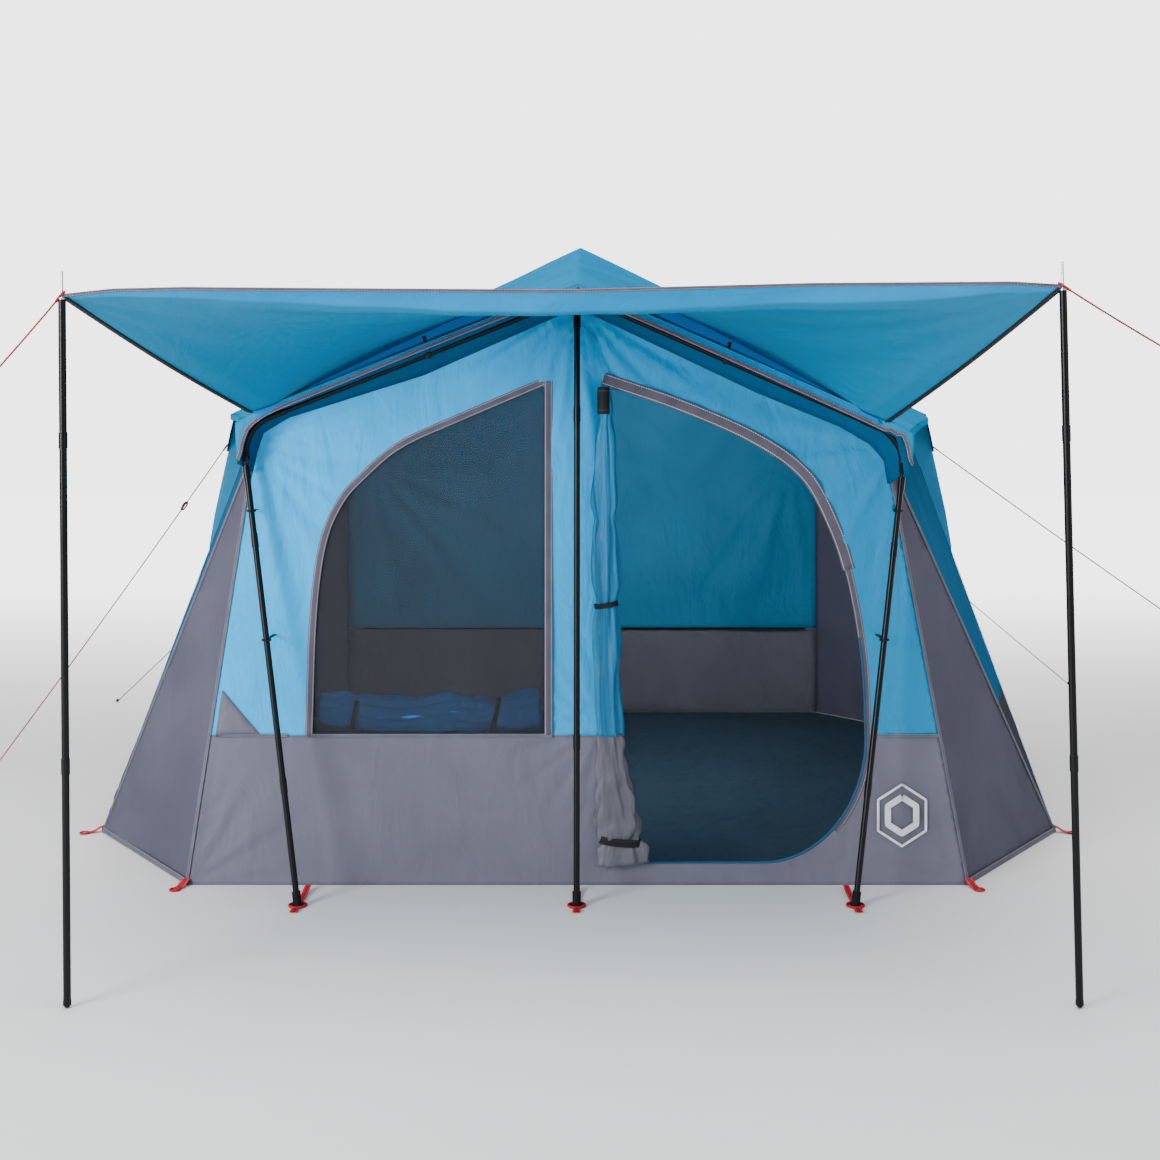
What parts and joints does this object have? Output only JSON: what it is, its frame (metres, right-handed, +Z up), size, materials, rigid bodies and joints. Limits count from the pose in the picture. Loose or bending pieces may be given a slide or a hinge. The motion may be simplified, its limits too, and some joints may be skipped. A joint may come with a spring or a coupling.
{
  "type": "pop up tent",
  "caption": "Octagonal cabin tent on a folding hub frame, with an open door, a net window, a pole-propped front awning and rope guylines.",
  "frame": {"origin": "on the ground under the hub, at the centre of the cabin's base", "axes": "+Z up, -Y out of the door, +X to the right for someone facing the door"},
  "size_m": [5.3544, 4.8863, 2.2366],
  "materials": {
    "fly_cloth": "satin",
    "awning_cloth": "satin",
    "ceiling_cloth": "matte",
    "wall_cloth": "satin",
    "corner_cloth": "satin",
    "groundsheet": "satin",
    "insect_net": "matte",
    "flap_cloth": "satin",
    "door_cloth": "satin",
    "webbing": "matte",
    "rope": "matte",
    "steel": "satin",
    "tube_paint": "satin",
    "bracket_paint": "satin",
    "moulding": "satin",
    "foot_rubber": "matte"
  },
  "bodies": {
    "tent": {"floor": "groundsheet", "fly": "fly_cloth", "awning": "awning_cloth", "inner_roof": "ceiling_cloth", "front_wall": "wall_cloth", "back_wall": "wall_cloth", "corner_panels": "corner_cloth", "left_side_wall": "wall_cloth", "right_side_wall": "wall_cloth", "window_mesh": "insect_net", "window_flap": "flap_cloth", "door_roll": "door_cloth", "peg_loops": "webbing", "peg_eyelets": "steel", "guyline_mid_left": "rope", "guyline_mid_right": "rope", "guyline_rear_left": "rope", "guyline_rear_right": "rope", "guyline_awning_left": "rope", "guyline_awning_right": "rope", "guyline_runners": "moulding"},
    "hub": {"hub_body": "moulding", "hub_cap": "moulding"},
    "front_ridge": {"front_ridge_arm": "tube_paint", "front_tee": "bracket_paint"},
    "front_left_gable": {"front_left_gable_arm": "tube_paint", "front_left_elbow": "bracket_paint"},
    "front_left_leg": {"front_left_leg": "tube_paint", "front_left_foot": "foot_rubber"},
    "front_right_gable": {"front_right_gable_arm": "tube_paint", "front_right_elbow": "bracket_paint"},
    "front_right_leg": {"front_right_leg": "tube_paint", "front_right_foot": "foot_rubber"},
    "front_centre_leg": {"front_centre_leg": "tube_paint", "front_centre_foot": "foot_rubber"},
    "rear_ridge": {"rear_ridge_arm": "tube_paint", "rear_tee": "bracket_paint"},
    "rear_left_gable": {"rear_left_gable_arm": "tube_paint", "rear_left_elbow": "bracket_paint"},
    "rear_left_leg": {"rear_left_leg": "tube_paint", "rear_left_foot": "foot_rubber"},
    "rear_right_gable": {"rear_right_gable_arm": "tube_paint", "rear_right_elbow": "bracket_paint"},
    "rear_right_leg": {"rear_right_leg": "tube_paint", "rear_right_foot": "foot_rubber"},
    "rear_centre_leg": {"rear_centre_leg": "tube_paint", "rear_centre_foot": "foot_rubber"},
    "mid_left_arm": {"mid_left_arm": "tube_paint", "mid_left_elbow": "bracket_paint"},
    "mid_left_leg": {"mid_left_leg": "tube_paint", "mid_left_foot": "foot_rubber"},
    "awning_pole_left": {"awning_pole_left": "tube_paint", "awning_spike_left": "steel"},
    "mid_right_arm": {"mid_right_arm": "tube_paint", "mid_right_elbow": "bracket_paint"},
    "mid_right_leg": {"mid_right_leg": "tube_paint", "mid_right_foot": "foot_rubber"},
    "awning_pole_right": {"awning_pole_right": "tube_paint", "awning_spike_right": "steel"}
  },
  "joints": [
    {"name": "hub_drop", "type": "slide", "parent": "tent", "child": "hub", "axis": [0, 0, 1], "range_m": [-1.965, 0], "deforming": ["fly", "awning", "inner_roof", "front_wall", "back_wall", "corner_panels", "left_side_wall", "right_side_wall", "window_mesh", "window_flap", "door_roll", "peg_loops", "guyline_mid_left", "guyline_mid_right", "guyline_rear_left", "guyline_rear_right", "guyline_awning_left", "guyline_awning_right", "guyline_runners"]},
    {"name": "front_ridge_fold", "type": "hinge", "parent": "hub", "child": "front_ridge", "pos_m": [0, -0.06, 2.115], "axis": [-1, 0, 0], "range_deg": [0, 9.14]},
    {"name": "front_left_gable_fold", "type": "hinge", "parent": "front_ridge", "child": "front_left_gable", "pos_m": [-0.04, -1.55, 1.866], "axis": [0, 1, 0], "range_deg": [0, 21.86]},
    {"name": "front_left_leg_fold", "type": "hinge", "parent": "front_left_gable", "child": "front_left_leg", "pos_m": [-1.05, -1.55, 1.36], "axis": [0, 1, 0], "range_deg": [0, 75.4]},
    {"name": "front_right_gable_fold", "type": "hinge", "parent": "front_ridge", "child": "front_right_gable", "pos_m": [0.04, -1.55, 1.866], "axis": [0, -1, 0], "range_deg": [0, 23.97]},
    {"name": "front_right_leg_fold", "type": "hinge", "parent": "front_right_gable", "child": "front_right_leg", "pos_m": [1.03, -1.55, 1.325], "axis": [0, -1, 0], "range_deg": [0, 72.8]},
    {"name": "front_centre_leg_fold", "type": "hinge", "parent": "front_ridge", "child": "front_centre_leg", "pos_m": [0, -1.55, 1.838], "axis": [-1, 0, 0], "range_deg": [0, 73.5]},
    {"name": "rear_ridge_fold", "type": "hinge", "parent": "hub", "child": "rear_ridge", "pos_m": [0, 0.06, 2.115], "axis": [1, 0, 0], "range_deg": [0, 9.14]},
    {"name": "rear_left_gable_fold", "type": "hinge", "parent": "rear_ridge", "child": "rear_left_gable", "pos_m": [-0.04, 1.55, 1.866], "axis": [0, 1, 0], "range_deg": [0, 21.86]},
    {"name": "rear_left_leg_fold", "type": "hinge", "parent": "rear_left_gable", "child": "rear_left_leg", "pos_m": [-1.05, 1.55, 1.36], "axis": [0, 1, 0], "range_deg": [0, 75.4]},
    {"name": "rear_right_gable_fold", "type": "hinge", "parent": "rear_ridge", "child": "rear_right_gable", "pos_m": [0.04, 1.55, 1.866], "axis": [0, -1, 0], "range_deg": [0, 23.97]},
    {"name": "rear_right_leg_fold", "type": "hinge", "parent": "rear_right_gable", "child": "rear_right_leg", "pos_m": [1.03, 1.55, 1.325], "axis": [0, -1, 0], "range_deg": [0, 72.8]},
    {"name": "rear_centre_leg_fold", "type": "hinge", "parent": "rear_ridge", "child": "rear_centre_leg", "pos_m": [0, 1.55, 1.838], "axis": [1, 0, 0], "range_deg": [0, 73.5]},
    {"name": "mid_left_arm_fold", "type": "hinge", "parent": "hub", "child": "mid_left_arm", "pos_m": [-0.06, 0, 2.115], "axis": [0, 1, 0], "range_deg": [0, 23.94]},
    {"name": "mid_left_leg_fold", "type": "hinge", "parent": "mid_left_arm", "child": "mid_left_leg", "pos_m": [-1.45, 0, 1.376], "axis": [0, 1, 0], "range_deg": [0, 52]},
    {"name": "awning_pole_left_tip", "type": "hinge", "parent": "tent", "child": "awning_pole_left", "pos_m": [-1.268, -2.52, 0.008], "axis": [0, -1, 0], "range_deg": [0, 89.7]},
    {"name": "mid_right_arm_fold", "type": "hinge", "parent": "hub", "child": "mid_right_arm", "pos_m": [0.06, 0, 2.115], "axis": [0, -1, 0], "range_deg": [0, 23.94]},
    {"name": "mid_right_leg_fold", "type": "hinge", "parent": "mid_right_arm", "child": "mid_right_leg", "pos_m": [1.45, 0, 1.376], "axis": [0, -1, 0], "range_deg": [0, 52]},
    {"name": "awning_pole_right_tip", "type": "hinge", "parent": "tent", "child": "awning_pole_right", "pos_m": [1.268, -2.52, 0.008], "axis": [0, 1, 0], "range_deg": [0, 89.7]}
  ],
  "couplings": [
    {"joint": "front_ridge_fold", "follows": "hub_drop", "rad_per_m": -0.079447},
    {"joint": "front_left_gable_fold", "follows": "hub_drop", "rad_per_m": -0.19234},
    {"joint": "front_left_leg_fold", "follows": "hub_drop", "rad_per_m": -0.66793},
    {"joint": "front_right_gable_fold", "follows": "hub_drop", "rad_per_m": -0.21112},
    {"joint": "front_right_leg_fold", "follows": "hub_drop", "rad_per_m": -0.64484},
    {"joint": "front_centre_leg_fold", "follows": "hub_drop", "rad_per_m": -0.65106},
    {"joint": "rear_ridge_fold", "follows": "hub_drop", "rad_per_m": -0.079447},
    {"joint": "rear_left_gable_fold", "follows": "hub_drop", "rad_per_m": -0.19234},
    {"joint": "rear_left_leg_fold", "follows": "hub_drop", "rad_per_m": -0.66793},
    {"joint": "rear_right_gable_fold", "follows": "hub_drop", "rad_per_m": -0.21112},
    {"joint": "rear_right_leg_fold", "follows": "hub_drop", "rad_per_m": -0.64484},
    {"joint": "rear_centre_leg_fold", "follows": "hub_drop", "rad_per_m": -0.65106},
    {"joint": "mid_left_arm_fold", "follows": "hub_drop", "rad_per_m": -0.21084},
    {"joint": "mid_left_leg_fold", "follows": "hub_drop", "rad_per_m": -0.46009},
    {"joint": "awning_pole_left_tip", "follows": "hub_drop", "rad_per_m": -0.79495},
    {"joint": "mid_right_arm_fold", "follows": "hub_drop", "rad_per_m": -0.21084},
    {"joint": "mid_right_leg_fold", "follows": "hub_drop", "rad_per_m": -0.46009},
    {"joint": "awning_pole_right_tip", "follows": "hub_drop", "rad_per_m": -0.79495}
  ]
}
